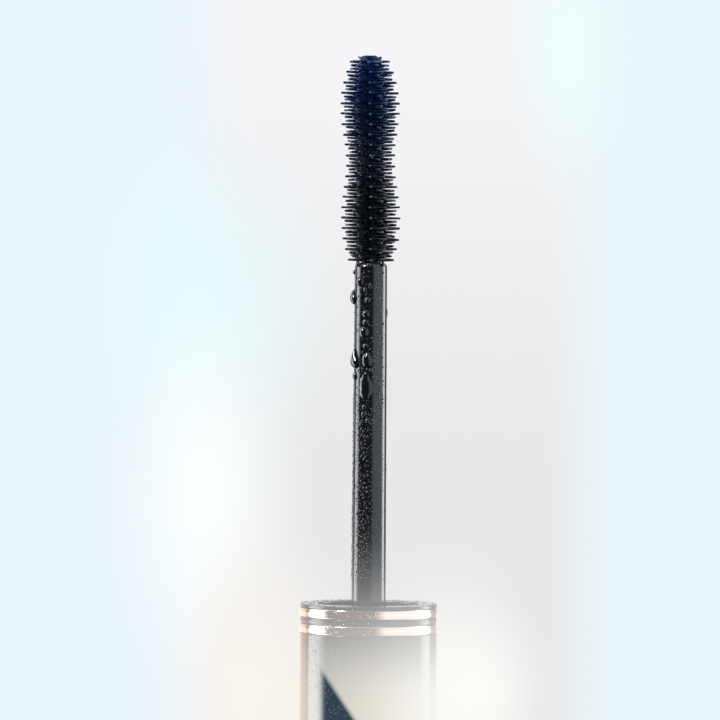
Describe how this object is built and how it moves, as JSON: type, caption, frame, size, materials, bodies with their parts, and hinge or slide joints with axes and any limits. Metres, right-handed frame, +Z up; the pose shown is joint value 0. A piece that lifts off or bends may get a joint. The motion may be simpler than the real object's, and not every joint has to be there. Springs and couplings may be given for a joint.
{
  "type": "mascara tube",
  "caption": "Round mascara tube: cap with a moulded brush on a stem and trim bands by its rim, and the threaded bottle with wiper that the wand slides into.",
  "frame": {"origin": "centre of the closed end of the cap, on the plane it stands on", "axes": "+Z up along the common axis of the cap, the wand and the bottle; X and Y are any two directions across it"},
  "size_m": [0.018, 0.018, 0.2193],
  "materials": {
    "cap_black_gloss": "gloss",
    "weight_steel": "satin",
    "rim_black": "gloss",
    "upper_band_rose_gold": "polished",
    "spacer_black": "gloss",
    "lower_band_rose_gold": "polished",
    "liner_foam": "matte",
    "stem_black_gloss": "gloss",
    "brush_elastomer": "satin",
    "vial_clear": "gloss",
    "collar_rose_gold": "polished",
    "bottle_black_gloss": "gloss",
    "plug_black_gloss": "gloss",
    "wiper_natural": "satin",
    "lip_soft": "satin",
    "formula_black": "satin"
  },
  "bodies": {
    "applicator": {"cap_shell": "cap_black_gloss", "cap_weight": "weight_steel", "inner_cap": "rim_black", "band_upper": "upper_band_rose_gold", "band_spacer": "spacer_black", "band_lower": "lower_band_rose_gold", "cap_liner": "liner_foam", "stem": "stem_black_gloss", "brush": "brush_elastomer"},
    "formula": {"formula": "formula_black"},
    "wiper": {"wiper_insert": "wiper_natural", "wiper_lip": "lip_soft"},
    "bottle": {"vial": "vial_clear", "bottle_collar": "collar_rose_gold", "bottle_shell": "bottle_black_gloss", "base_plug": "plug_black_gloss"}
  },
  "joints": [
    {"name": "bottle_draw", "type": "slide", "parent": "applicator", "child": "formula", "axis": [0, 0, 1], "range_m": [-0.0915, 0], "deforming": ["wiper_lip"]},
    {"name": "thread_rise", "type": "slide", "parent": "formula", "child": "wiper", "axis": [0, 0, 1], "range_m": [-0.0045, 0]},
    {"name": "bottle_turn", "type": "hinge", "parent": "wiper", "child": "bottle", "pos_m": [0, 0, 0.1423], "axis": [0, 0, 1], "range_deg": [-540, 0]}
  ],
  "couplings": [
    {"joint": "thread_rise", "follows": "bottle_turn", "m_per_rad": 0.00047746}
  ]
}
